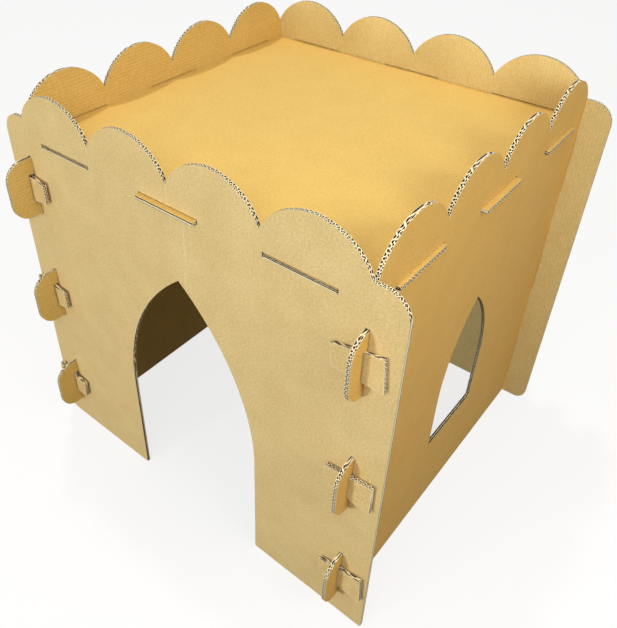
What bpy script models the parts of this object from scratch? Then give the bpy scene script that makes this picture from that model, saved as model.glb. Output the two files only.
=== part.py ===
"""Slot-together play castle of double-wall corrugated board.

Two wide panels stand in front and behind, two walls run between them, and a flat roof sheet lies a
little below the scalloped battlements. Each wall has rounded tabs that pass through slots in the
wide panels, and a flat key pushed through each tab holds the panel against the wall's end.
The roof's own tabs lie in slots in all four sides. There is no glue, tape or fastener.

Frame: metres, +Z up, the floor at Z = 0, the origin in the middle of the footprint.
+X is to the right of someone who faces the door, and -Y is the side of the door.
"""

import math

import bmesh
import bpy

# The board
BOARD = 0.0068  # double-wall board, three liners and two layers of flutes
TOUCH = 0.0003  # what two pieces that touch keep between their faces

# The plan: how far apart the sides stand
ROOM_WIDTH = 0.720  # over the outer faces of the two side walls
DEPTH = 0.712  # over the outer faces of the front and back panels
EAR = 0.052  # how far a wide panel reaches past the wall's outer face
EAR_RADIUS = 0.040
FOOT_RADIUS = 0.026
SQUARE_FOOT_RADIUS = 0.004  # the front panel's right foot is cut nearly square

# The battlements
VALLEY_HEIGHT = 0.753  # floor to the notch between two scallops
SCALLOP_RISE = 0.058
SCALLOPS = 4

# The door, a pointed arch open at the floor
DOOR_WIDTH = 0.312
DOOR_ASIDE = 0.010  # how far its middle lies to the right of the panel's
DOOR_SPRING = 0.254  # where the jambs turn into the arch
DOOR_ARCH_RISE = 0.328

# The window, a pointed arch over a flat sill, in the right wall
WINDOW_WIDTH = 0.168
WINDOW_SILL = 0.188
WINDOW_JAMB = 0.122
WINDOW_ARCH_RISE = 0.193
WINDOW_BACK = 0.014  # how far its middle lies behind the middle of the wall

# The rounded tabs at the walls' ends, and the slots that they pass through
TAB_FROM_FLOOR = 0.120  # middle of the lowest tab
TAB_FROM_VALLEY = 0.133  # middle of the highest tab, below the valleys
TABS = 3
TAB_HEIGHT = 0.116
TAB_REACHES = 0.092  # how far a wall's two tabs at one height stand out, front and back together
# How far each tab stands out of the front panel, from the lowest: the walls have slid a little
FRONT_REACHES = {
    "left": (0.052, 0.054, 0.055),
    "right": (0.044, 0.040, 0.037),
}
TAB_RADIUS = 0.036
SLOT_END = 0.002  # room above and below a tab in its slot
SLOT_SIDE = 0.0006  # room on each side of a tab in its slot

# The keys, flat wedges pushed in from the outside, the narrow end first
KEY_LENGTH = 0.084
KEY_NARROW = 0.040
KEY_WIDE = 0.059
KEY_ROOM = 0.0008  # room over the highest key, and in front of the outermost, in their slots
# How far each key's narrow end was pushed past the wall's outer face, from the lowest
KEY_PUSHES = {
    "front_left": (0.040, 0.038, 0.045),
    "front_right": (0.039, 0.044, 0.051),
    "back_left": (0.042, 0.042, 0.042),
    "back_right": (0.042, 0.042, 0.042),
}
# How far each key stands off the wide panel, beyond TOUCH
KEY_STANDS = {
    "front_left": (0.0045, 0.0040, 0.0045),
    "front_right": (0.0025, 0.0025, 0.0010),
    "back_left": (0.0010, 0.0010, 0.0010),
    "back_right": (0.0010, 0.0010, 0.0010),
}
# How far each key's wide end has tipped up, in degrees
KEY_TILTS = {
    "front_left": (5.5, -3.0, -1.0),
    "front_right": (4.5, 1.0, 6.0),
    "back_left": (0.0, 0.0, 0.0),
    "back_right": (0.0, 0.0, 0.0),
}
LEVELS = ("bottom", "middle", "top")

# The roof and its tabs
ROOF_DROP = 0.036  # valleys to the roof's upper face
ROOF_TABS = 3
ROOF_TAB_WIDTH = 0.122
ROOF_CORNER_ACROSS = 0.106  # from a side wall to the middle of the nearest tab in the front
ROOF_CORNER_ALONG = 0.109  # from a wide panel to the middle of the nearest tab in a side wall
ROOF_SLOT_END = 0.002  # room beside a tab in its slot
ROOF_SLOT_OVER = 0.0019  # room over a tab in its slot
# How far each tab stands out of the slotted side, from the left or from the front
ROOF_TABS_OUT = {
    "front": (0.000, 0.009, 0.000),
    "back": (0.000, 0.009, 0.000),
    "left": (0.006, 0.010, 0.006),
    "right": (0.006, 0.010, 0.006),
}

# Segments along the curves
SCALLOP_STEPS = 24
ARCH_STEPS = 20
CORNER_STEPS = 9

# Kraft board in sunlight, in shade and on the roof (linear colour)
KRAFT_FRONT = (0.61, 0.43, 0.19, 1.0)
KRAFT_SIDE = (0.50, 0.32, 0.11, 1.0)
KRAFT_ROOF = (0.83, 0.57, 0.19, 1.0)
KRAFT_ROUGHNESS = 0.85

# Places that follow from the sizes above
WALL_MIDDLE = ROOM_WIDTH / 2 - BOARD / 2  # X of a side wall's middle plane
PANEL_MIDDLE = DEPTH / 2 - BOARD / 2  # Y of a wide panel's middle plane
WALL_END = DEPTH / 2 - BOARD - TOUCH  # where a side wall stops at the panel's inner face
ROOF_TOP = VALLEY_HEIGHT - ROOF_DROP
ROOF_SIDE = ROOM_WIDTH / 2 - BOARD - TOUCH  # where the roof sheet stops at a wall's inner face
ROOF_STEP_ACROSS = 2 * (ROOF_SIDE - ROOF_CORNER_ACROSS) / (ROOF_TABS - 1)
ROOF_STEP_ALONG = 2 * (WALL_END - ROOF_CORNER_ALONG) / (ROOF_TABS - 1)
TAB_STEP = (VALLEY_HEIGHT - TAB_FROM_VALLEY - TAB_FROM_FLOOR) / (TABS - 1)


def arc(centre, radius, start, end, steps):
    """Points of an arc, both ends among them; angles in degrees, counter-clockwise from +x."""
    turn = [math.radians(start + (end - start) * k / steps) for k in range(steps + 1)]
    return [(centre[0] + radius * math.cos(a), centre[1] + radius * math.sin(a)) for a in turn]


def scallops(right, left, base):
    """The battlements from right to left, as shallow arcs that meet in sharp valleys."""
    chord = (right - left) / SCALLOPS
    radius = ((chord / 2) ** 2 + SCALLOP_RISE**2) / (2 * SCALLOP_RISE)
    half = math.degrees(math.asin(min(1.0, chord / 2 / radius)))
    if SCALLOP_RISE > radius:
        half = 180 - half
    points = []
    for k in range(SCALLOPS):
        middle = right - (k + 0.5) * chord
        centre = (middle, base + SCALLOP_RISE - radius)
        points += arc(centre, radius, 90 - half, 90 + half, SCALLOP_STEPS)[:-1]
    return points + [(left, base)]


def pointed_arch(middle, width, spring, rise):
    """The arch from its left springing over the point to its right springing."""
    half = width / 2
    radius = (half**2 + rise**2) / width
    sweep = math.degrees(math.asin(min(1.0, rise / radius)))
    if rise > radius:
        sweep = 180 - sweep
    left = arc((middle - half + radius, spring), radius, 180, 180 - sweep, ARCH_STEPS)
    right = arc((middle + half - radius, spring), radius, sweep, 0, ARCH_STEPS)
    return left + right[1:]


def rectangle(x0, x1, y0, y1):
    """A rectangle's corners, counter-clockwise."""
    return [(x0, y0), (x1, y0), (x1, y1), (x0, y1)]


def tab_heights():
    """Height of each tab's middle, from the lowest."""
    return [TAB_FROM_FLOOR + k * TAB_STEP for k in range(TABS)]


def spread(count, step):
    """Places of evenly spaced things about zero."""
    return [(k - (count - 1) / 2) * step for k in range(count)]


def roof_slots(step):
    """The roof tabs' slots in a side, seen flat: across and up."""
    half = ROOF_TAB_WIDTH / 2 + ROOF_SLOT_END
    low = ROOF_TOP - BOARD - TOUCH
    high = ROOF_TOP + ROOF_SLOT_OVER
    return [rectangle(place - half, place + half, low, high) for place in spread(ROOF_TABS, step)]


def wide_panel_outline(left_foot, right_foot, door):
    """Outline of a wide panel, counter-clockwise from its left foot."""
    half = ROOM_WIDTH / 2 + EAR
    outline = arc((-half + left_foot, left_foot), left_foot, 180, 270, CORNER_STEPS)
    if door:
        outline += [(DOOR_ASIDE - DOOR_WIDTH / 2, 0.0)]
        outline += pointed_arch(DOOR_ASIDE, DOOR_WIDTH, DOOR_SPRING, DOOR_ARCH_RISE)
        outline += [(DOOR_ASIDE + DOOR_WIDTH / 2, 0.0)]
    outline += arc((half - right_foot, right_foot), right_foot, -90, 0, CORNER_STEPS)
    outline += arc((half - EAR_RADIUS, VALLEY_HEIGHT - EAR_RADIUS), EAR_RADIUS, 0, 90, CORNER_STEPS)
    outline += scallops(WALL_MIDDLE, -WALL_MIDDLE, VALLEY_HEIGHT)
    outline += arc((EAR_RADIUS - half, VALLEY_HEIGHT - EAR_RADIUS), EAR_RADIUS, 90, 180, CORNER_STEPS)
    return outline


def wide_panel_holes():
    """Slots for the walls' tabs and for the roof's."""
    half = BOARD / 2 + SLOT_SIDE
    tall = TAB_HEIGHT / 2 + SLOT_END
    holes = [
        rectangle(side * WALL_MIDDLE - half, side * WALL_MIDDLE + half, height - tall, height + tall)
        for side in (-1, 1)
        for height in tab_heights()
    ]
    return holes + roof_slots(ROOF_STEP_ACROSS)


def tab(height, reach):
    """A wall's tab from its lower to its upper root, seen with the wall to its left."""
    tip = DEPTH / 2 + reach
    top = TAB_HEIGHT / 2
    radius = min(TAB_RADIUS, reach, top)
    return (
        [(WALL_END, height - top)]
        + arc((tip - radius, height - top + radius), radius, -90, 0, CORNER_STEPS)
        + arc((tip - radius, height + top - radius), radius, 0, 90, CORNER_STEPS)
        + [(WALL_END, height + top)]
    )


def side_wall_outline(side):
    """Outline of a side wall with its rounded tabs, counter-clockwise from the front foot.

    Across is Y, so the left edge of the outline stands at the front panel.
    """
    tabs = list(zip(tab_heights(), FRONT_REACHES[side]))
    outline = [(-WALL_END, 0.0), (WALL_END, 0.0)]
    for height, reach in tabs:
        outline += tab(height, TAB_REACHES - reach)
    outline += scallops(WALL_END, -WALL_END, VALLEY_HEIGHT)
    for height, reach in reversed(tabs):
        outline += [(-y, z) for y, z in reversed(tab(height, reach))]
    return outline


def key_corners():
    """A key seen from outside, its middle at the origin and its wide end towards +x."""
    half = KEY_LENGTH / 2
    return [
        (-half, -KEY_NARROW / 2),
        (half, -KEY_WIDE / 2),
        (half, KEY_WIDE / 2),
        (-half, KEY_NARROW / 2),
    ]


def key_grip(push, tilt):
    """Where a tipped key crosses the wall: its lowest and highest point there, from its middle."""
    turn = math.radians(tilt)
    tipped = [
        (x * math.cos(turn) - z * math.sin(turn), x * math.sin(turn) + z * math.cos(turn))
        for x, z in key_corners()
    ]
    outer_face = push - KEY_LENGTH / 2
    heights = []
    for (x0, z0), (x1, z1) in (tipped[:2], tipped[:1:-1]):
        slope = (z1 - z0) / (x1 - x0)
        heights.append([z0 + slope * (x - x0) for x in (outer_face - BOARD, outer_face)])
    lower, upper = heights
    return min(lower), max(upper)


def key_slot_height():
    """How high the keys' slots are cut: all alike, and high enough for the widest grip."""
    grips = [
        key_grip(push, tilt)
        for corner in KEY_PUSHES
        for push, tilt in zip(KEY_PUSHES[corner], KEY_TILTS[corner])
    ]
    return max(high - low for low, high in grips) + TOUCH + KEY_ROOM


def side_wall_holes(side, window):
    """Slots for the keys and for the roof's tabs, and the window where the wall has one."""
    face = DEPTH / 2
    half = key_slot_height() / 2
    front = face + TOUCH + max(KEY_STANDS["front_" + side]) + BOARD + KEY_ROOM
    back = face + TOUCH + max(KEY_STANDS["back_" + side]) + BOARD + KEY_ROOM
    holes = []
    for height in tab_heights():
        holes.append(rectangle(-front, -face, height - half, height + half))
        holes.append(rectangle(face, back, height - half, height + half))
    holes += roof_slots(ROOF_STEP_ALONG)
    if window:
        half = WINDOW_WIDTH / 2
        arch = pointed_arch(WINDOW_BACK, WINDOW_WIDTH, WINDOW_SILL + WINDOW_JAMB, WINDOW_ARCH_RISE)
        sill = [(WINDOW_BACK + half, WINDOW_SILL), (WINDOW_BACK - half, WINDOW_SILL)]
        holes.append(arch + sill)
    return holes


def roof_edge(step, reaches, edge, face):
    """One side of the roof sheet with its tabs, from left to right: along the side and outwards."""
    half = ROOF_TAB_WIDTH / 2
    run = []
    for place, reach in zip(spread(ROOF_TABS, step), reaches):
        tip = face + reach
        run += [(place - half, edge), (place - half, tip), (place + half, tip), (place + half, edge)]
    return run


def roof_outline():
    """The roof sheet with its tabs on each side, counter-clockwise from the front left corner."""
    front = roof_edge(ROOF_STEP_ACROSS, ROOF_TABS_OUT["front"], WALL_END, DEPTH / 2)
    right = roof_edge(ROOF_STEP_ALONG, ROOF_TABS_OUT["right"], ROOF_SIDE, ROOM_WIDTH / 2)
    back = roof_edge(ROOF_STEP_ACROSS, ROOF_TABS_OUT["back"], WALL_END, DEPTH / 2)
    left = roof_edge(ROOF_STEP_ALONG, ROOF_TABS_OUT["left"], ROOF_SIDE, ROOM_WIDTH / 2)
    outline = [(-ROOF_SIDE, -WALL_END)] + [(along, -out) for along, out in front]
    outline += [(ROOF_SIDE, -WALL_END)] + [(out, along) for along, out in right]
    outline += [(ROOF_SIDE, WALL_END)] + [(along, out) for along, out in reversed(back)]
    outline += [(-ROOF_SIDE, WALL_END)] + [(-out, along) for along, out in reversed(left)]
    return outline


def board_material(name, colour):
    """Uncoated kraft liner."""
    material = bpy.data.materials.new(name)
    material.use_nodes = True
    shader = material.node_tree.nodes["Principled BSDF"]
    shader.inputs["Base Color"].default_value = colour
    shader.inputs["Roughness"].default_value = KRAFT_ROUGHNESS
    shader.inputs["Metallic"].default_value = 0.0
    material.diffuse_color = colour
    return material


def cut_board(name, outline, holes, colour):
    """A piece cut from the flat board: a filled 2D curve with its holes, made a welded mesh."""
    curve = bpy.data.curves.new(name, "CURVE")
    curve.dimensions = "2D"
    curve.fill_mode = "BOTH"
    curve.extrude = BOARD / 2
    for points in [outline] + holes:
        spline = curve.splines.new("POLY")
        spline.points.add(len(points) - 1)
        for point, (x, y) in zip(spline.points, points):
            point.co = (x, y, 0.0, 1.0)
        spline.use_cyclic_u = True
    drawn = bpy.data.objects.new(name + "_outline", curve)
    bpy.context.scene.collection.objects.link(drawn)
    bpy.context.view_layer.update()
    graph = bpy.context.evaluated_depsgraph_get()
    mesh = bpy.data.meshes.new_from_object(drawn.evaluated_get(graph))
    bpy.data.objects.remove(drawn)
    bpy.data.curves.remove(curve)
    cut = bmesh.new()
    cut.from_mesh(mesh)
    bmesh.ops.remove_doubles(cut, verts=cut.verts, dist=0.00001)
    bmesh.ops.recalc_face_normals(cut, faces=cut.faces)
    cut.to_mesh(mesh)
    cut.free()
    mesh.name = name
    mesh.materials.clear()
    mesh.materials.append(board_material(name + "_kraft", colour))
    return bpy.data.objects.new(name, mesh)


def stand_across(piece, y):
    """Stands a flat piece up, facing the front, with its middle plane at y."""
    piece.rotation_euler = (math.radians(90), 0.0, 0.0)
    piece.location = (0.0, y, 0.0)


def stand_along(piece, x):
    """Stands a flat piece up, running from front to back, with its middle plane at x."""
    piece.rotation_euler = (math.radians(90), 0.0, math.radians(90))
    piece.location = (x, 0.0, 0.0)


def wide_panels():
    """The front panel with the door, and the plain back panel."""
    front = cut_board(
        "front_panel",
        wide_panel_outline(FOOT_RADIUS, SQUARE_FOOT_RADIUS, door=True),
        wide_panel_holes(),
        KRAFT_FRONT,
    )
    back = cut_board(
        "back_panel",
        wide_panel_outline(FOOT_RADIUS, FOOT_RADIUS, door=False),
        wide_panel_holes(),
        KRAFT_FRONT,
    )
    stand_across(front, -PANEL_MIDDLE)
    stand_across(back, PANEL_MIDDLE)
    return [front, back]


def side_walls():
    """The plain left wall, and the right wall with the window."""
    left = cut_board(
        "left_wall", side_wall_outline("left"), side_wall_holes("left", window=False), KRAFT_SIDE
    )
    right = cut_board(
        "right_wall", side_wall_outline("right"), side_wall_holes("right", window=True), KRAFT_SIDE
    )
    stand_along(left, -WALL_MIDDLE)
    stand_along(right, WALL_MIDDLE)
    return [left, right]


def roof():
    """The roof sheet, lying on the lower edges of its slots."""
    sheet = cut_board("roof_panel", roof_outline(), [], KRAFT_ROOF)
    sheet.location = (0.0, 0.0, ROOF_TOP - BOARD / 2)
    return [sheet]


def keys():
    """Twelve keys, each resting on the lower edge of its slot."""
    pieces = []
    for corner in KEY_PUSHES:
        end, side = corner.split("_")
        facing = -1 if end == "front" else 1
        outward = -1 if side == "left" else 1
        plate = [(outward * x, z) for x, z in key_corners()]
        places = zip(LEVELS, tab_heights(), KEY_PUSHES[corner], KEY_STANDS[corner], KEY_TILTS[corner])
        for level, height, push, stand, tilt in places:
            key = cut_board(f"key_{corner}_{level}", plate, [], KRAFT_FRONT)
            stand_across(key, facing * (DEPTH / 2 + TOUCH + stand + BOARD / 2))
            key.rotation_euler.y = -outward * math.radians(tilt)
            key.location.x = outward * (ROOM_WIDTH / 2 + KEY_LENGTH / 2 - push)
            key.location.z = height - key_slot_height() / 2 + TOUCH - key_grip(push, tilt)[0]
            pieces.append(key)
    return pieces


def main():
    """Clears the scene and builds the castle under one empty."""
    for obj in list(bpy.data.objects):
        bpy.data.objects.remove(obj)
    collection = bpy.data.collections.new("cardboard_castle")
    bpy.context.scene.collection.children.link(collection)
    footprint = bpy.data.objects.new("castle", None)
    collection.objects.link(footprint)
    for piece in wide_panels() + side_walls() + roof() + keys():
        collection.objects.link(piece)
        piece.parent = footprint


main()
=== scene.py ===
"""The looks of a slot-together play castle of double-wall corrugated board.

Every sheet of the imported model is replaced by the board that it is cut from: three liners with two
layers of flutes between them, cut to the sheet's own outline and holes, so that its cut edges show
the open flutes. The finishes are uncoated kraft papers, some with a faint washboard, and on the
panels' outer faces a few pale upright lines.

Frame: metres, +Z up, the floor at Z = 0. +X is to the right of someone who faces the door, and -Y is
the side of the door.
"""

import logging
import math
from dataclasses import dataclass
from enum import Enum
from typing import Any

import bmesh
import bpy
import numpy as np
from mathutils import Matrix, Vector

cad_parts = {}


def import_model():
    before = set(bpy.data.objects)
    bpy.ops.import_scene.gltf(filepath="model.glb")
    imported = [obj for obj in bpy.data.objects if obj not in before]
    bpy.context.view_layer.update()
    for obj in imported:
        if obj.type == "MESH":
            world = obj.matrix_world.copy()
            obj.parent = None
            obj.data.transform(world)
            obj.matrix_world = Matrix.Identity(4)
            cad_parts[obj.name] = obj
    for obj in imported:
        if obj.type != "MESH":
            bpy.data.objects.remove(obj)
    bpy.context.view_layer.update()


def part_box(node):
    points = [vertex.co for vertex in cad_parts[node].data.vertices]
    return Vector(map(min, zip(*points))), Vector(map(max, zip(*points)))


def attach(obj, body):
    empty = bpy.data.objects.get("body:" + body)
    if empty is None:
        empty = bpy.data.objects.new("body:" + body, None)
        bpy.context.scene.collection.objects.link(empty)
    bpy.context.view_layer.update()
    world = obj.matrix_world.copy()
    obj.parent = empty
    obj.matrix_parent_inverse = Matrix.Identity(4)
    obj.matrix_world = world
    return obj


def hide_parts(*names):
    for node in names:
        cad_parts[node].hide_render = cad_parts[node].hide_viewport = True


LOG = logging.getLogger("castle")

MM = 0.001
NEAR = 1e-5  # points closer than this are one point
WELD = NEAR / 10  # the same, where flutes are cut and bent
ROUND = 6  # decimal places of a metre kept in an outline

WHITE = (1.0, 1.0, 1.0, 1.0)
BLACK = (0.0, 0.0, 0.0, 1.0)
SHARE, FIRST, SECOND, MIXED = 0, 6, 7, 2  # the sockets of a Mix node that blends two colours

X, Y, Z = Vector((1, 0, 0)), Vector((0, 1, 0)), Vector((0, 0, 1))

Point = tuple[float, float]
Loop = list[Point]


def linear(colour: str) -> tuple[float, float, float, float]:
    """Turns an sRGB hex colour into linear light.

    Args:
        colour: six hex digits after a hash sign.

    Returns:
        Red, green and blue in linear light, and an alpha of 1.
    """
    parts = [int(colour[k:k + 2], 16) / 255 for k in (1, 3, 5)]
    light = [c / 12.92 if c <= 0.04045 else ((c + 0.055) / 1.055) ** 2.4 for c in parts]
    return light[0], light[1], light[2], 1.0


def add(tree: bpy.types.NodeTree, kind: str, inputs: dict[Any, Any] | None = None,
        **settings: Any) -> bpy.types.Node:
    """Adds a node with its settings, its values and its links.

    Args:
        tree: the node tree that the node goes into.
        kind: the node's type.
        inputs: for each input, by name or number, a value or the socket that feeds it.
        settings: the node's own properties.

    Returns:
        The new node.
    """
    node = tree.nodes.new(kind)
    for name, value in settings.items():
        setattr(node, name, value)
    for key, value in (inputs or {}).items():
        if isinstance(value, bpy.types.NodeSocket):
            tree.links.new(value, node.inputs[key])
        else:
            node.inputs[key].default_value = value
    return node


class Flute(Enum):
    """A layer of flutes: crest to crest, and the clear height between its two liners."""

    FINE = (6.37 * MM, 2.15 * MM)
    COARSE = (7.80 * MM, 3.05 * MM)

    @property
    def pitch(self) -> float:
        """Crest to crest."""
        return self.value[0]

    @property
    def height(self) -> float:
        """Liner to liner."""
        return self.value[1]


@dataclass(frozen=True)
class Washboard:
    """Ripples in a liner, like those that flutes press into it.

    Attributes:
        across: the direction that the ripples repeat in.
        pitch: ripple to ripple.
        depth: how deep the paper sinks between two crests.
        trough_shade: painted shade in the troughs, how much darker the sunken paper is drawn, from 0
            to 1.
    """

    across: Vector
    pitch: float
    depth: float
    trough_shade: float


@dataclass(frozen=True)
class Crease:
    """A pale, nearly upright line on a liner, drawn as a shallow crease.

    Attributes:
        x: where its lower end is.
        low: the height of its lower end.
        high: the height of its upper end.
        lean: how far it goes aside for each metre up.
        strength: how plain it is to see, from 0 to 1.
    """

    x: float
    low: float
    high: float
    lean: float = 0.0
    strength: float = 0.5


@dataclass(frozen=True)
class KraftLiner:
    """Uncoated kraft liner, machine-made brown paper with long fibres.

    Attributes:
        name: the material's name.
        colour: the paper's colour.
        shade: the darker tone of its clouds and fibres.
        washboard: the ripples that show on it, if any do.
        creases: the pale lines on it.
    """

    name: str
    colour: str
    shade: str
    washboard: Washboard | None = None
    creases: tuple[Crease, ...] = ()

    CLOUD = 60 * MM  # the size of its cloudy patches, which show from a few steps away
    CLOUD_DETAIL, CLOUD_ROUGHNESS = 3.0, 0.6
    CLOUD_SHARE = 0.5
    MOTTLE = 4.0 * MM  # coarser than real fibre knots, so that they show at this distance
    MOTTLE_DETAIL, MOTTLE_ROUGHNESS = 2.0, 0.7
    FIBRE = 1.6 * MM  # real fibres are some 0.03 mm wide, too fine to show
    FIBRE_DETAIL = 3.0
    FIBRE_STRETCH = 2.5
    FIBRE_RELIEF = 0.05 * MM
    PALEST, DARKEST = 0.95, 1.55  # sums of the patterns that give the colour and the shade
    SINKS_FROM = -0.6  # the sine, from crest at -1 to trough at 1, at which the paper starts to sink
    STREAK = 35 * MM  # how far a ripple runs before its painted shade grows stronger or weaker
    STREAK_DETAIL, STREAK_ROUGHNESS = 2.0, 0.7
    FAINTEST, STRONGEST = 0.15, 0.8  # the streaks' noise where the painted shade vanishes and where it is full
    CREASE_WIDTH = 1.3 * MM
    CREASE_DEPTH = 0.10 * MM
    CREASE_FADE = 6 * MM
    CREASE_COLOUR = "#F4E4B8"
    ROUGHNESS = 0.82
    IOR = 1.47

    def material(self) -> bpy.types.Material:
        """Matte brown paper: cloudy from a few steps away, fibrous close up, on some faces rippled.

        Returns:
            The finished material.
        """
        material = bpy.data.materials.new(self.name)
        material.use_nodes = True
        tree = material.node_tree
        shader = tree.nodes["Principled BSDF"]
        place = add(tree, "ShaderNodeTexCoord").outputs["Object"]
        cloud = add(tree, "ShaderNodeTexNoise", {
            "Vector": place, "Scale": 1 / self.CLOUD, "Detail": self.CLOUD_DETAIL,
            "Roughness": self.CLOUD_ROUGHNESS})
        mottle = add(tree, "ShaderNodeTexNoise", {
            "Vector": place, "Scale": 1 / self.MOTTLE, "Detail": self.MOTTLE_DETAIL,
            "Roughness": self.MOTTLE_ROUGHNESS})
        stretched = add(tree, "ShaderNodeMapping", {
            "Vector": place, "Scale": (1 / self.FIBRE_STRETCH, 1 / self.FIBRE_STRETCH, 1.0)})
        fibre = add(tree, "ShaderNodeTexNoise", {
            "Vector": stretched.outputs[0], "Scale": 1 / self.FIBRE, "Detail": self.FIBRE_DETAIL})
        tone = add(tree, "ShaderNodeMath", {0: cloud.outputs["Fac"], 1: self.CLOUD_SHARE,
                                            2: mottle.outputs["Fac"]}, operation="MULTIPLY_ADD")
        tone = add(tree, "ShaderNodeMath", {0: tone.outputs[0], 1: fibre.outputs["Fac"]},
                   operation="ADD")
        tone = add(tree, "ShaderNodeMapRange", {
            "Value": tone.outputs[0], "From Min": self.PALEST, "From Max": self.DARKEST})
        paper = add(tree, "ShaderNodeMix", {
            SHARE: tone.outputs[0], FIRST: linear(self.colour), SECOND: linear(self.shade)},
            data_type="RGBA")
        colour = paper.outputs[MIXED]
        relief = add(tree, "ShaderNodeMath", {0: fibre.outputs["Fac"], 1: self.FIBRE_RELIEF},
                     operation="MULTIPLY").outputs[0]
        if self.washboard:
            colour, relief = self.rippled(tree, place, colour, relief)
        for crease in self.creases:
            colour, relief = self.creased(tree, place, crease, colour, relief)
        bump = add(tree, "ShaderNodeBump", {"Height": relief, "Distance": 1.0, "Strength": 1.0})
        tree.links.new(colour, shader.inputs["Base Color"])
        tree.links.new(bump.outputs[0], shader.inputs["Normal"])
        shader.inputs["Roughness"].default_value = self.ROUGHNESS
        shader.inputs["IOR"].default_value = self.IOR
        return material

    def rippled(self, tree: bpy.types.NodeTree, place: bpy.types.NodeSocket,
                colour: bpy.types.NodeSocket,
                relief: bpy.types.NodeSocket) -> tuple[bpy.types.NodeSocket, bpy.types.NodeSocket]:
        """Adds the washboard to the paper: its relief, and painted shade in its troughs.

        Args:
            tree: the material's nodes.
            place: the point's coordinates.
            colour: the paper's colour so far.
            relief: the paper's relief so far.

        Returns:
            The colour and the relief with the ripples.
        """
        board = self.washboard
        run = add(tree, "ShaderNodeVectorMath", {0: place, 1: board.across},
                  operation="DOT_PRODUCT")
        turn = add(tree, "ShaderNodeMath", {0: run.outputs["Value"], 1: math.tau / board.pitch},
                   operation="MULTIPLY")
        wave = add(tree, "ShaderNodeMath", {0: turn.outputs[0]}, operation="SINE")
        sunk = add(tree, "ShaderNodeMapRange", {
            "Value": wave.outputs[0], "From Min": self.SINKS_FROM, "From Max": 1.0})
        stretch = [1 / (board.pitch if part else self.STREAK) for part in board.across]
        streaks = add(tree, "ShaderNodeMapping", {"Vector": place, "Scale": stretch})
        noise = add(tree, "ShaderNodeTexNoise", {
            "Vector": streaks.outputs[0], "Scale": 1.0, "Detail": self.STREAK_DETAIL,
            "Roughness": self.STREAK_ROUGHNESS})
        patchy = add(tree, "ShaderNodeMapRange", {
            "Value": noise.outputs["Fac"], "From Min": self.FAINTEST, "From Max": self.STRONGEST})
        # Painted shade: the sunken paper between the crests is drawn darker, in patchy streaks
        trough_shade = add(tree, "ShaderNodeMath", {0: sunk.outputs[0], 1: patchy.outputs[0]},
                    operation="MULTIPLY")
        trough_shade = add(tree, "ShaderNodeMath", {0: trough_shade.outputs[0], 1: board.trough_shade},
                    operation="MULTIPLY")
        darker = add(tree, "ShaderNodeMix", {
            SHARE: trough_shade.outputs[0], FIRST: colour, SECOND: BLACK}, data_type="RGBA")
        sink = add(tree, "ShaderNodeMath", {0: sunk.outputs[0], 1: -board.depth, 2: relief},
                   operation="MULTIPLY_ADD")
        return darker.outputs[MIXED], sink.outputs[0]

    def creased(self, tree: bpy.types.NodeTree, place: bpy.types.NodeSocket, crease: Crease,
                colour: bpy.types.NodeSocket,
                relief: bpy.types.NodeSocket) -> tuple[bpy.types.NodeSocket, bpy.types.NodeSocket]:
        """Draws one pale line with a shallow groove along it.

        Args:
            tree: the material's nodes.
            place: the point's coordinates.
            crease: where the line runs.
            colour: the paper's colour so far.
            relief: the paper's relief so far.

        Returns:
            The colour and the relief with the line.
        """
        parts = add(tree, "ShaderNodeSeparateXYZ", {0: place})
        x = add(tree, "ShaderNodeMath", {0: parts.outputs["Z"], 1: -crease.lean,
                                         2: parts.outputs["X"]}, operation="MULTIPLY_ADD")
        half = (crease.high - crease.low) / 2
        spans = ((x.outputs[0], crease.x - crease.lean * crease.low, 0.0, self.CREASE_WIDTH),
                 (parts.outputs["Z"], crease.low + half, half - self.CREASE_FADE, half))
        shares = []
        for value, middle, full, end in spans:
            apart = add(tree, "ShaderNodeMath", {0: value, 1: middle}, operation="SUBTRACT")
            apart = add(tree, "ShaderNodeMath", {0: apart.outputs[0]}, operation="ABSOLUTE")
            shares.append(add(tree, "ShaderNodeMapRange", {
                "Value": apart.outputs[0], "From Min": full, "From Max": end, "To Min": 1.0,
                "To Max": 0.0}).outputs[0])
        line = add(tree, "ShaderNodeMath", dict(enumerate(shares)), operation="MULTIPLY")
        line = add(tree, "ShaderNodeMath", {0: line.outputs[0], 1: crease.strength},
                   operation="MULTIPLY")
        paler = add(tree, "ShaderNodeMix", {
            SHARE: line.outputs[0], FIRST: colour, SECOND: linear(self.CREASE_COLOUR)},
            data_type="RGBA")
        sink = add(tree, "ShaderNodeMath", {0: line.outputs[0], 1: -self.CREASE_DEPTH, 2: relief},
                   operation="MULTIPLY_ADD")
        return paler.outputs[MIXED], sink.outputs[0]


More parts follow.
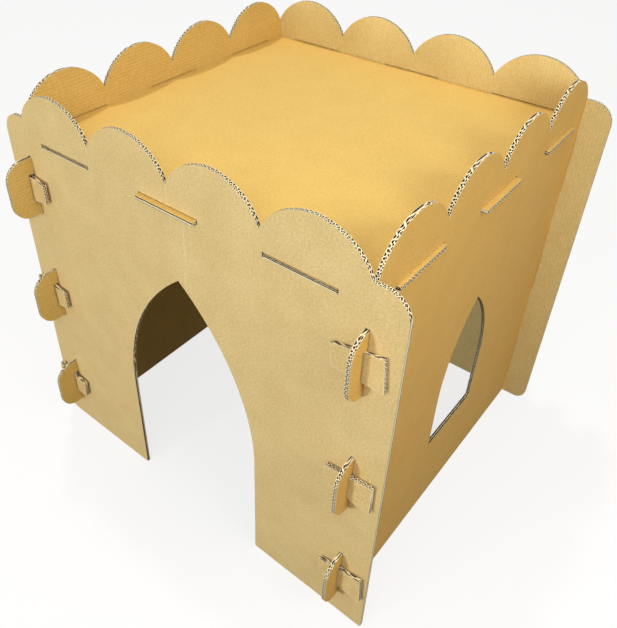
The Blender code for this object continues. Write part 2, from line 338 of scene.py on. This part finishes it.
@dataclass(frozen=True)
class RawPaper:
    """Paper without a finished face: a cut edge, or the fluting inside the board.

    Attributes:
        name: the material's name.
        colour: the paper's colour.
        shade: the darker tone of its fibres.
        fibre: the size of the specks.
    """

    name: str
    colour: str
    shade: str
    fibre: float = 1.2 * MM

    FIBRE_DETAIL = 2.0
    PALEST, DARKEST = 0.35, 0.7  # the noise at which the paper takes its colour and its shade
    ROUGHNESS = 0.95
    IOR = 1.45

    def material(self) -> bpy.types.Material:
        """Dull, fibrous paper, without clouds or ripples.

        Returns:
            The finished material.
        """
        material = bpy.data.materials.new(self.name)
        material.use_nodes = True
        tree = material.node_tree
        shader = tree.nodes["Principled BSDF"]
        place = add(tree, "ShaderNodeTexCoord").outputs["Object"]
        speck = add(tree, "ShaderNodeTexNoise", {
            "Vector": place, "Scale": 1 / self.fibre, "Detail": self.FIBRE_DETAIL})
        tone = add(tree, "ShaderNodeMapRange", {
            "Value": speck.outputs["Fac"], "From Min": self.PALEST, "From Max": self.DARKEST})
        paper = add(tree, "ShaderNodeMix", {
            SHARE: tone.outputs[0], FIRST: linear(self.colour), SECOND: linear(self.shade)},
            data_type="RGBA")
        tree.links.new(paper.outputs[MIXED], shader.inputs["Base Color"])
        shader.inputs["Roughness"].default_value = self.ROUGHNESS
        shader.inputs["IOR"].default_value = self.IOR
        return material


class Look(Enum):
    """The papers that the castle is made of.

    Every washboard has the fine pitch, also on faces with coarse flutes beneath them. Both wide
    panels share their papers, so the pale lines over the door are on the back panel as well.
    """

    PANEL_OUT = KraftLiner("kraft_liner_panel_outside", "#E8CF92", "#CFB274", creases=(
        Crease(0.0, 0.7195, 0.7535), Crease(0.0305, 0.618, 0.709, lean=0.012),
        Crease(0.0261, 0.575, 0.614, lean=0.057), Crease(-0.179, 0.722, 0.7535, strength=0.3),
        Crease(-0.181, 0.680, 0.706, strength=0.2)))
    PANEL_IN = KraftLiner("kraft_liner_panel_inside", "#ECD797", "#DDC17A",
                          Washboard(X, Flute.FINE.pitch, 0.04 * MM, 0.10))
    # Painted light: the walls' outer paper is nearly the panels' paper, only a little more orange;
    # the rest of this deeper orange is the warm shaded light on the walls' sides, painted into the
    # colour
    WALL_OUT = KraftLiner("kraft_liner_wall_outside_painted_warm_light", "#E0B461", "#CFA04A",
                          Washboard(Z, Flute.FINE.pitch, 0.02 * MM, 0.04))
    WALL_IN = KraftLiner("kraft_liner_wall_inside", "#E3C06F", "#CFA856",
                         Washboard(Z, Flute.FINE.pitch, 0.05 * MM, 0.17))
    KEY_OUT = KraftLiner("kraft_liner_key_outside", "#DFC78A", "#CDB072",
                         Washboard(Z, Flute.FINE.pitch, 0.03 * MM, 0.10))
    ROOF_TOP = KraftLiner("kraft_liner_roof_top", "#EFC86E", "#E3B95F")
    ROOF_UNDER = KraftLiner("kraft_liner_roof_under", "#E3CB90", "#D3B473",
                            Washboard(Y, Flute.FINE.pitch, 0.05 * MM, 0.14))
    CUT_EDGE = RawPaper("kraft_paper_knife_cut", "#F6EAC8", "#DCC998")
    # Painted shade: far darker than real fluting, so that the open flutes and the board's inside are
    # drawn as dark as their shade looks from where the camera stands
    FLUTING = RawPaper("semichemical_fluting_painted_shade", "#33240F", "#241809", fibre=2.5 * MM)

    @property
    def material(self) -> bpy.types.Material:
        """The material, made at its first use."""
        return bpy.data.materials.get(self.value.name) or self.value.material()


class Slot(Enum):
    """The record's material slots."""

    PANEL = "kraft_panel"
    WALL = "kraft_wall"
    ROOF = "kraft_roof"
    KEY = "kraft_key"


def corrugating_tree() -> bpy.types.NodeTree:
    """Builds the Geometry Nodes tree that turns a flat sheet into a layer of flutes.

    The sheet lies in X and Y with its flutes along Y, already cut into narrow columns. It is made as
    thick as the room between two liners, and its two faces sink in turn into rounded channels. What
    is left between the channels is the wavy paper with the glue along its crests.

    Returns:
        The tree, with named inputs for its sizes.
    """
    tree = bpy.data.node_groups.new("corrugate", "GeometryNodeTree")
    tree.interface.new_socket("Sheet", in_out="INPUT", socket_type="NodeSocketGeometry")
    for name in ("Pitch", "Phase", "Height", "Depth", "Glued", "Level"):
        tree.interface.new_socket(name, in_out="INPUT", socket_type="NodeSocketFloat")
    for name in ("Paper", "Cut"):
        tree.interface.new_socket(name, in_out="INPUT", socket_type="NodeSocketMaterial")
    tree.interface.new_socket("Flutes", in_out="OUTPUT", socket_type="NodeSocketGeometry")
    given = add(tree, "NodeGroupInput")
    up = add(tree, "ShaderNodeCombineXYZ", {"Z": given.outputs["Height"]})
    raised = add(tree, "GeometryNodeExtrudeMesh", {"Mesh": given.outputs["Sheet"],
                                                   "Offset": up.outputs[0], "Individual": False})
    under = add(tree, "GeometryNodeFlipFaces", {"Mesh": given.outputs["Sheet"]})
    both = add(tree, "GeometryNodeJoinGeometry")
    for part in (raised.outputs["Mesh"], under.outputs[0]):
        tree.links.new(part, both.inputs[0])
    place = add(tree, "ShaderNodeSeparateXYZ",
                {0: add(tree, "GeometryNodeInputPosition").outputs[0]})
    half = add(tree, "ShaderNodeMath", {0: given.outputs["Height"], 1: 0.5},
               operation="MULTIPLY").outputs[0]
    upper = add(tree, "ShaderNodeMath", {0: place.outputs["Z"], 1: half},
                operation="GREATER_THAN").outputs[0]
    side = add(tree, "ShaderNodeMapRange", {"Value": upper, "To Min": -1.0}).outputs[0]
    turn = add(tree, "ShaderNodeMath", {0: place.outputs["X"], 1: given.outputs["Pitch"]},
               operation="DIVIDE")
    turn = add(tree, "ShaderNodeMath", {0: turn.outputs[0], 1: given.outputs["Phase"]},
               operation="ADD")
    turn = add(tree, "ShaderNodeMath", {0: upper, 1: 0.5, 2: turn.outputs[0]},
               operation="MULTIPLY_ADD")
    angle = add(tree, "ShaderNodeMath", {0: turn.outputs[0], 1: math.tau}, operation="MULTIPLY")
    wave = add(tree, "ShaderNodeMath", {0: angle.outputs[0]}, operation="COSINE")
    channel = add(tree, "ShaderNodeMapRange", {"Value": wave.outputs[0],
                                               "From Min": given.outputs["Glued"]}).outputs[0]
    sunk = add(tree, "ShaderNodeMath", {0: channel, 1: given.outputs["Depth"]},
               operation="MULTIPLY")
    left = add(tree, "ShaderNodeMath", {0: half, 1: sunk.outputs[0]}, operation="SUBTRACT")
    level = add(tree, "ShaderNodeMath", {0: left.outputs[0], 1: side,
                                         2: given.outputs["Level"]}, operation="MULTIPLY_ADD")
    spot = add(tree, "ShaderNodeCombineXYZ", {"X": place.outputs["X"], "Y": place.outputs["Y"],
                                              "Z": level.outputs[0]})
    moved = add(tree, "GeometryNodeSetPosition", {"Geometry": both.outputs[0],
                                                  "Position": spot.outputs[0]})
    whole = add(tree, "GeometryNodeMergeByDistance", {"Geometry": moved.outputs[0],
                                                      "Distance": WELD})
    real = add(tree, "GeometryNodeRealizeInstances", {0: whole.outputs[0]})
    papered = add(tree, "GeometryNodeSetMaterial", {"Geometry": real.outputs[0],
                                                    "Material": given.outputs["Paper"]})
    edged = add(tree, "GeometryNodeSetMaterial", {"Geometry": papered.outputs[0],
                                                  "Selection": raised.outputs["Side"],
                                                  "Material": given.outputs["Cut"]})
    add(tree, "NodeGroupOutput", {0: edged.outputs[0]})
    return tree


def solid_mesh(carrier: bpy.types.Object) -> bpy.types.Mesh:
    """Turns an object with its modifiers into a plain mesh, and removes the object.

    Args:
        carrier: a mesh or curve object, in no collection yet.

    Returns:
        The evaluated mesh.
    """
    bpy.context.scene.collection.objects.link(carrier)
    bpy.context.view_layer.update()
    graph = bpy.context.evaluated_depsgraph_get()
    mesh = bpy.data.meshes.new_from_object(carrier.evaluated_get(graph))
    bpy.data.objects.remove(carrier)
    return mesh


def cut_columns(loops: list[Loop], step: float) -> tuple[list[Point], list[list[int]]]:
    """Cuts a flat shape with holes into columns, narrow enough to be bent into flutes.

    Args:
        loops: the outline and the holes, in metres.
        step: the width of a column.

    Returns:
        The points, and the faces as numbers of points, counter-clockwise.
    """
    edges = [(a, b) for loop in loops for a, b in zip(loop, loop[1:] + loop[:1])
             if abs(a[0] - b[0]) > WELD]
    corners = np.unique([point[0] for loop in loops for point in loop])
    first, last = math.ceil(corners[0] / step), math.floor(corners[-1] / step)
    steps = np.round(np.arange(first, last + 1) * step, ROUND)
    narrowest = step / 5
    apart = np.abs(steps[:, None] - corners[None, :]).min(axis=1) > narrowest
    stops = [float(s) for s in np.sort(np.concatenate([corners, steps[apart]]))]
    cells: list[tuple[int, list[float]]] = []
    levels: list[set[float]] = [set() for _ in stops]
    for k, (left, right) in enumerate(zip(stops, stops[1:])):
        crossed = []
        middle = (left + right) / 2
        for (ax, ay), (bx, by) in edges:
            if min(ax, bx) < middle < max(ax, bx):
                slope = (by - ay) / (bx - ax)
                crossed.append((ay + slope * (middle - ax), round(ay + slope * (left - ax), ROUND),
                                round(ay + slope * (right - ax), ROUND)))
        crossed.sort()
        for (_, low_left, low_right), (_, high_left, high_right) in zip(crossed[::2],
                                                                        crossed[1::2]):
            cells.append((k, [low_left, high_left, low_right, high_right]))
            levels[k].update((low_left, high_left))
            levels[k + 1].update((low_right, high_right))
    numbers: dict[tuple[int, float], int] = {}
    points: list[Point] = []
    for k, stop in enumerate(stops):
        for level in sorted(levels[k]):
            numbers[k, level] = len(points)
            points.append((stop, level))
    ladders = [sorted(found) for found in levels]
    faces = []
    for k, (low_left, high_left, low_right, high_right) in cells:
        up = [numbers[k + 1, v] for v in ladders[k + 1] if low_right <= v <= high_right]
        down = [numbers[k, v] for v in reversed(ladders[k]) if low_left <= v <= high_left]
        if len(up) + len(down) > 2:
            faces.append(up + down)
    return points, faces


@dataclass
class Board:
    """A sheet of double-wall board, cut to the outline of a CAD node.

    Attributes:
        node: the CAD node that the sheet stands for.
        slot: the record's material slot. Not used.
        across: the direction from flute to flute.
        along: the direction of the flutes. Across, along and out are right-handed.
        outer: the paper of the outer face.
        inner: the paper of the inner face.
        outer_flute: the layer of flutes under the outer face.
        inner_flute: the layer of flutes under the inner face.
        phase: how far the outer flutes are shifted, as a share of their pitch.
        rimmed: whether a pale line shows round the outer face: partly the liner's worn edge, partly
            a painted highlight where that edge catches the light.
    """

    node: str
    slot: Slot
    across: Vector
    along: Vector
    outer: Look
    inner: Look
    outer_flute: Flute = Flute.FINE
    inner_flute: Flute = Flute.COARSE
    phase: float = 0.0
    rimmed: bool = False

    LINER = 0.42 * MM  # about twice a real liner, so that its edge shows as a pale line
    RIM = 0.70 * MM  # how wide the pale line round a key's outer face is, a painted highlight on its worn edge
    CHANNEL = 0.88  # how much of the room between two liners a channel takes
    GLUED = 0.0  # the cosine at which a channel starts, so that it is half a flute wide
    STEPS_A_FLUTE = 12
    SKIN = 10 * NEAR  # corners this close to the outer face belong to it
    FACING = 0.5  # a face whose normal points out of the sheet by less than this is a cut edge
    OUTER, INNER, CUT, INSIDE = range(4)  # the sheet's material slots

    @property
    def out(self) -> Vector:
        """The direction that the outer face looks in."""
        return self.across.cross(self.along)

    def frame(self) -> Matrix:
        """Where the sheet's own plane stands: across, along and out, about its middle plane."""
        low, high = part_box(self.node)
        middle = (low + high) / 2
        turn = Matrix((self.across, self.along, self.out)).transposed().to_4x4()
        return Matrix.Translation(self.out * middle.dot(self.out)) @ turn

    def loops(self, thing: bpy.types.Object) -> list[Loop]:
        """Reads the outline and the holes off the CAD node's outer face.

        Args:
            thing: the CAD node's object.

        Returns:
            Closed loops of points, across and along the flutes.
        """
        flat = bmesh.new()
        flat.from_mesh(thing.data)
        flat.transform(self.frame().inverted())
        bmesh.ops.remove_doubles(flat, verts=flat.verts, dist=NEAR)
        top = max(v.co.z for v in flat.verts)
        face = {f for f in flat.faces if min(v.co.z for v in f.verts) > top - self.SKIN}
        ways: dict[bmesh.types.BMVert, list[bmesh.types.BMVert]] = {}
        for edge in flat.edges:
            if len(face.intersection(edge.link_faces)) == 1:
                for a, b in (edge.verts, reversed(edge.verts)):
                    ways.setdefault(a, []).append(b)
        loops = []
        while ways:
            here = next(iter(ways))
            loop = []
            while here in ways:
                loop.append((round(here.co.x, ROUND), round(here.co.y, ROUND)))
                here = next((v for v in ways.pop(here) if v in ways), None)
            loops.append(loop)
        flat.free()
        return loops

    def liner(self, loops: list[Loop], thickness: float) -> bpy.types.Mesh:
        """Cuts one flat sheet of paper to the outline.

        Args:
            loops: the outline and the holes.
            thickness: the paper's thickness.

        Returns:
            A closed mesh about the plane of the loops.
        """
        curve = bpy.data.curves.new("liner", "CURVE")
        curve.dimensions = "2D"
        curve.fill_mode = "BOTH"
        curve.extrude = thickness / 2
        for loop in loops:
            spline = curve.splines.new("POLY")
            spline.points.add(len(loop) - 1)
            for point, (x, y) in zip(spline.points, loop):
                point.co = (x, y, 0.0, 1.0)
            spline.use_cyclic_u = True
        return solid_mesh(bpy.data.objects.new("liner", curve))

    def flutes(self, loops: list[Loop], flute: Flute, phase: float, room: float, level: float,
               tree: bpy.types.NodeTree) -> bpy.types.Mesh:
        """Makes one layer of flutes, cut to the outline.

        Args:
            loops: the outline and the holes.
            flute: the layer's kind.
            phase: its shift across, as a share of its pitch.
            room: the clear height between its two liners.
            level: how far out its middle lies.
            tree: the corrugating tree.

        Returns:
            A closed mesh of wavy paper with open channels and cut ends.
        """
        points, faces = cut_columns(loops, flute.pitch / self.STEPS_A_FLUTE)
        mesh = bpy.data.meshes.new("flutes")
        mesh.from_pydata([(x, y, 0.0) for x, y in points], [], faces)
        mesh.materials.append(Look.FLUTING.material)
        mesh.materials.append(Look.CUT_EDGE.material)
        carrier = bpy.data.objects.new("flutes", mesh)
        bend = carrier.modifiers.new("bend", "NODES")
        bend.node_group = tree
        sizes = {"Pitch": flute.pitch, "Phase": phase, "Height": room, "Depth": room * self.CHANNEL,
                 "Glued": self.GLUED, "Level": level, "Paper": Look.FLUTING.material,
                 "Cut": Look.CUT_EDGE.material}
        for item in tree.interface.items_tree:
            if item.name in sizes:
                bend[item.identifier] = sizes[item.name]
        return solid_mesh(carrier)

    def build(self, tree: bpy.types.NodeTree) -> bpy.types.Object:
        """Builds the whole sheet in place.

        Args:
            tree: the corrugating tree.

        Returns:
            One mesh object at the origin, with its place in its mesh.
        """
        loops = self.loops(bpy.data.objects[self.node])
        low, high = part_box(self.node)
        board = abs((high - low).dot(self.out))
        spare = board - 3 * self.LINER - self.outer_flute.height - self.inner_flute.height
        outer_gap = self.outer_flute.height + spare / 2
        inner_gap = self.inner_flute.height + spare / 2
        top = board / 2 - self.LINER
        between = top - outer_gap - self.LINER / 2
        whole = bmesh.new()
        for level, thick in ((board / 2 - self.LINER / 2, self.LINER), (between, self.LINER),
                             (self.LINER / 2 - board / 2, self.LINER)):
            self.take(whole, self.liner(loops, thick), Matrix.Translation((0, 0, level)), board)
        for layer in ((self.outer_flute, self.phase, outer_gap, top - outer_gap / 2),
                      (self.inner_flute, 0.0, inner_gap,
                       inner_gap / 2 + self.LINER - board / 2)):
            self.take(whole, self.flutes(loops, *layer, tree), Matrix.Identity(4), board)
        if self.rimmed:
            # Partly the liner's worn edge, partly a painted highlight: a thin band of pale cut-edge
            # paper round the outer face, where the edge catches the light
            face = [f for f in whole.faces if f.material_index == self.OUTER]
            for rim in bmesh.ops.inset_region(whole, faces=face, thickness=self.RIM,
                                              use_boundary=True, use_even_offset=True)["faces"]:
                rim.material_index = self.CUT
        whole.transform(self.frame())
        for vert in whole.verts:
            vert.co = [min(max(at, least), most) for at, least, most in zip(vert.co, low, high)]
        mesh = bpy.data.meshes.new(self.node + "_board")
        whole.to_mesh(mesh)
        whole.free()
        return bpy.data.objects.new(mesh.name, mesh)

    def take(self, whole: bmesh.types.BMesh, mesh: bpy.types.Mesh, place: Matrix,
             board: float) -> None:
        """Adds one layer to the sheet, with each face's paper.

        Args:
            whole: the sheet so far.
            mesh: the layer, which is removed afterwards.
            place: where the layer lies.
            board: the board's thickness.
        """
        mesh.transform(place)
        fluted = len(mesh.materials) > 1
        known = len(whole.faces)
        whole.from_mesh(mesh)
        whole.faces.ensure_lookup_table()
        for face in whole.faces[known:]:
            level = face.calc_center_median().z
            if fluted:
                face.material_index = self.CUT if face.material_index else self.INSIDE
            elif abs(face.normal.z) < self.FACING:
                face.material_index = self.CUT
            elif abs(level) < board / 2 - NEAR:
                face.material_index = self.INSIDE
            else:
                face.material_index = self.OUTER if level > 0 else self.INNER
        bpy.data.meshes.remove(mesh)

    def dress(self, sheet: bpy.types.Object) -> None:
        """Gives the sheet its papers, puts it in the scene under the root body and hides its CAD
        node.

        Args:
            sheet: the finished sheet.
        """
        for look in (self.outer, self.inner, Look.CUT_EDGE, Look.FLUTING):
            sheet.data.materials.append(look.material)
        bpy.context.scene.collection.objects.link(sheet)
        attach(sheet, "root")
        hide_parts(self.node)
        LOG.info("%s: %d faces", sheet.name, len(sheet.data.polygons))


@dataclass
class Castle:
    """The seventeen sheets of the castle."""

    ends: tuple[str, ...] = ("front", "back")
    sides: tuple[str, ...] = ("left", "right")
    levels: tuple[str, ...] = ("bottom", "middle", "top")
    upright: tuple[str, ...] = ("key_front_right_middle",)  # cut with its flutes upright

    def boards(self) -> list[Board]:
        """Says how each sheet lies.

        Returns:
            The sheets: wide panels, side walls, roof and keys.
        """
        return [
            Board("front_panel", Slot.PANEL, X, Z, Look.PANEL_OUT, Look.PANEL_IN),
            Board("back_panel", Slot.PANEL, -X, Z, Look.PANEL_OUT, Look.PANEL_IN,
                  Flute.COARSE, Flute.FINE),
            Board("left_wall", Slot.WALL, Z, Y, Look.WALL_OUT, Look.WALL_IN,
                  Flute.COARSE, Flute.FINE),
            Board("right_wall", Slot.WALL, Z, -Y, Look.WALL_OUT, Look.WALL_IN),
            Board("roof_panel", Slot.ROOF, Y, -X, Look.ROOF_TOP, Look.ROOF_UNDER, phase=0.33),
            *self.keys(),
        ]

    def keys(self) -> list[Board]:
        """Says how each key lies: its flutes run level, apart from those cut the other way.

        Returns:
            The keys' sheets.
        """
        boards = []
        for end, aside in zip(self.ends, (X, -X)):
            for side in self.sides:
                for level in self.levels:
                    name = f"key_{end}_{side}_{level}"
                    ways = (aside, Z) if name in self.upright else (Z, -aside)
                    face = Look.KEY_OUT if side == "left" else Look.PANEL_OUT
                    boards.append(Board(name, Slot.KEY, *ways, face, Look.PANEL_IN, rimmed=True))
        return boards

    def build(self) -> None:
        """Builds and dresses every sheet."""
        tree = corrugating_tree()
        for board in self.boards():
            board.dress(board.build(tree))


@dataclass(frozen=True)
class Lamp:
    """A soft round lamp.

    Attributes:
        name: the lamp's name.
        way: the direction from its aim to the lamp.
        aim: the point that it faces.
        distance: how far from its aim it hangs.
        size: its diameter.
        level: how bright a white surface is at its aim and face to face with it.
    """

    name: str
    way: tuple[float, float, float]
    aim: tuple[float, float, float]
    distance: float
    size: float
    level: float

    def build(self) -> None:
        """Hangs the lamp."""
        data = bpy.data.lights.new(self.name, "AREA")
        data.shape = "DISK"
        data.size = self.size
        data.energy = self.level * (math.pi * self.distance) ** 2
        lamp = bpy.data.objects.new(self.name, data)
        way = Vector(self.way).normalized()
        lamp.location = Vector(self.aim) + way * self.distance
        lamp.rotation_euler = way.to_track_quat("Z", "Y").to_euler()
        bpy.context.scene.collection.objects.link(lamp)


@dataclass
class Studio:
    """The floor, the lamps and the camera, at the photograph's viewing angle."""

    image_width: float = 617.0
    image_height: float = 628.0
    azimuth: float = 39.8351  # in degrees, as the elevation and the roll are
    elevation: float = 36.4015
    roll: float = 0.1384
    focal: float = 689.37  # in pixels of the photograph
    centre: tuple[float, float] = (266.04, 262.64)  # where the lens axis meets the photograph
    eye: tuple[float, float, float] = (0.6703, -0.9298, 1.2551)
    sensor: float = 36.0  # in millimetres
    reach: float = 100.0  # how far the camera sees
    floor_half: float = 15.0
    floor_colour: str = "#F4F2EF"
    floor_bounce: str = "#5A5652"  # what the floor throws back at the castle
    floor_glow: float = 0.80  # how much of the floor is plain white to the camera
    floor_roughness: float = 0.9
    sky: tuple[float, float] = (0.35, 0.56)  # its strength at the horizon and overhead
    lamps: tuple[Lamp, ...] = (
        Lamp("key", (-0.25, 0.14, 1.0), (-0.36, 0.0, 0.80), 6.0, 0.50, 0.32),
        Lamp("front_fill", (-0.22, -0.97, 0.10), (0.04, -0.36, 0.50), 3.0, 0.50, 0.43),
        Lamp("side_fill", (0.74, -0.48, 0.50), (0.36, 0.20, 0.72), 1.4, 0.80, 0.60),
        Lamp("corner_fill", (0.15, -0.80, 0.60), (0.26, -0.36, 0.80), 1.2, 0.50, 0.32),
    )

    def build(self) -> None:
        """Sets the stage."""
        self.camera()
        self.world()
        self.floor()
        for lamp in self.lamps:
            lamp.build()
        bpy.context.scene.view_settings.view_transform = "Standard"

    def camera(self) -> None:
        """Places the camera where the photograph was taken from."""
        turn, tilt, roll = map(math.radians, (self.azimuth, self.elevation, self.roll))
        ahead = Vector((-math.sin(turn) * math.cos(tilt), math.cos(turn) * math.cos(tilt),
                        -math.sin(tilt)))
        right = Vector((math.cos(turn), math.sin(turn), 0.0))
        up = right.cross(ahead)
        level = math.cos(roll) * right + math.sin(roll) * up
        upright = math.cos(roll) * up - math.sin(roll) * right
        data = bpy.data.cameras.new("camera")
        data.sensor_fit = "HORIZONTAL"
        data.sensor_width = self.sensor
        data.lens = self.focal * self.sensor / self.image_width
        data.shift_x = 0.5 - self.centre[0] / self.image_width
        data.shift_y = (self.centre[1] - self.image_height / 2) / self.image_width
        data.clip_end = self.reach
        camera = bpy.data.objects.new("camera", data)
        camera.matrix_world = Matrix.Translation(self.eye) @ Matrix(
            (level, upright, -ahead)).transposed().to_4x4()
        bpy.context.scene.collection.objects.link(camera)
        bpy.context.scene.camera = camera

    def seen(self, tree: bpy.types.NodeTree) -> bpy.types.NodeSocket:
        """Tells the rays that see the background from those that carry light.

        Args:
            tree: the nodes of the world or of the floor.

        Returns:
            1 for camera, glossy and transmission rays, else 0.
        """
        path = add(tree, "ShaderNodeLightPath")
        either = add(tree, "ShaderNodeMath", {0: path.outputs["Is Camera Ray"],
                                              1: path.outputs["Is Glossy Ray"]},
                     operation="MAXIMUM")
        return add(tree, "ShaderNodeMath", {0: either.outputs[0],
                                            1: path.outputs["Is Transmission Ray"]},
                   operation="MAXIMUM").outputs[0]

    def world(self) -> None:
        """Soft light from all round and most from above, with a white background."""
        world = bpy.data.worlds.new("studio")
        world.use_nodes = True
        tree = world.node_tree
        way = add(tree, "ShaderNodeTexCoord").outputs["Generated"]
        height = add(tree, "ShaderNodeSeparateXYZ", {0: way}).outputs["Z"]
        glow = add(tree, "ShaderNodeMapRange", {"Value": height, "To Min": self.sky[0],
                                                "To Max": self.sky[1]})
        strength = add(tree, "ShaderNodeMapRange", {"Value": self.seen(tree),
                                                    "To Min": glow.outputs[0], "To Max": 1.0})
        background = tree.nodes["Background"]
        background.inputs["Color"].default_value = WHITE
        tree.links.new(strength.outputs[0], background.inputs["Strength"])
        bpy.context.scene.world = world

    def floor(self) -> None:
        """A plain pale floor that keeps the castle's shadow."""
        half = self.floor_half
        mesh = bpy.data.meshes.new("floor")
        mesh.from_pydata([(-half, -half, 0.0), (half, -half, 0.0), (half, half, 0.0),
                          (-half, half, 0.0)], [], [(0, 1, 2, 3)])
        floor = bpy.data.objects.new("floor", mesh)
        material = bpy.data.materials.new("pale_studio_floor")
        material.use_nodes = True
        tree = material.node_tree
        matte = tree.nodes["Principled BSDF"]
        matte.inputs["Roughness"].default_value = self.floor_roughness
        seen = self.seen(tree)
        tint = add(tree, "ShaderNodeMix", {
            SHARE: seen, FIRST: linear(self.floor_bounce), SECOND: linear(self.floor_colour)},
            data_type="RGBA")
        tree.links.new(tint.outputs[MIXED], matte.inputs["Base Color"])
        white = add(tree, "ShaderNodeEmission", {"Color": WHITE, "Strength": 1.0})
        share = add(tree, "ShaderNodeMath", {0: seen, 1: self.floor_glow}, operation="MULTIPLY")
        both = add(tree, "ShaderNodeMixShader", {0: share.outputs[0], 1: matte.outputs[0],
                                                 2: white.outputs[0]})
        tree.links.new(both.outputs[0], tree.nodes["Material Output"].inputs["Surface"])
        mesh.materials.append(material)
        bpy.context.scene.collection.objects.link(floor)


def main() -> None:
    """Loads the frame, sets the stage and builds the castle's sheets."""
    logging.basicConfig(level=logging.INFO, format="%(name)s %(message)s")
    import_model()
    Studio().build()
    Castle().build()


if __name__ == "__main__":
    main()
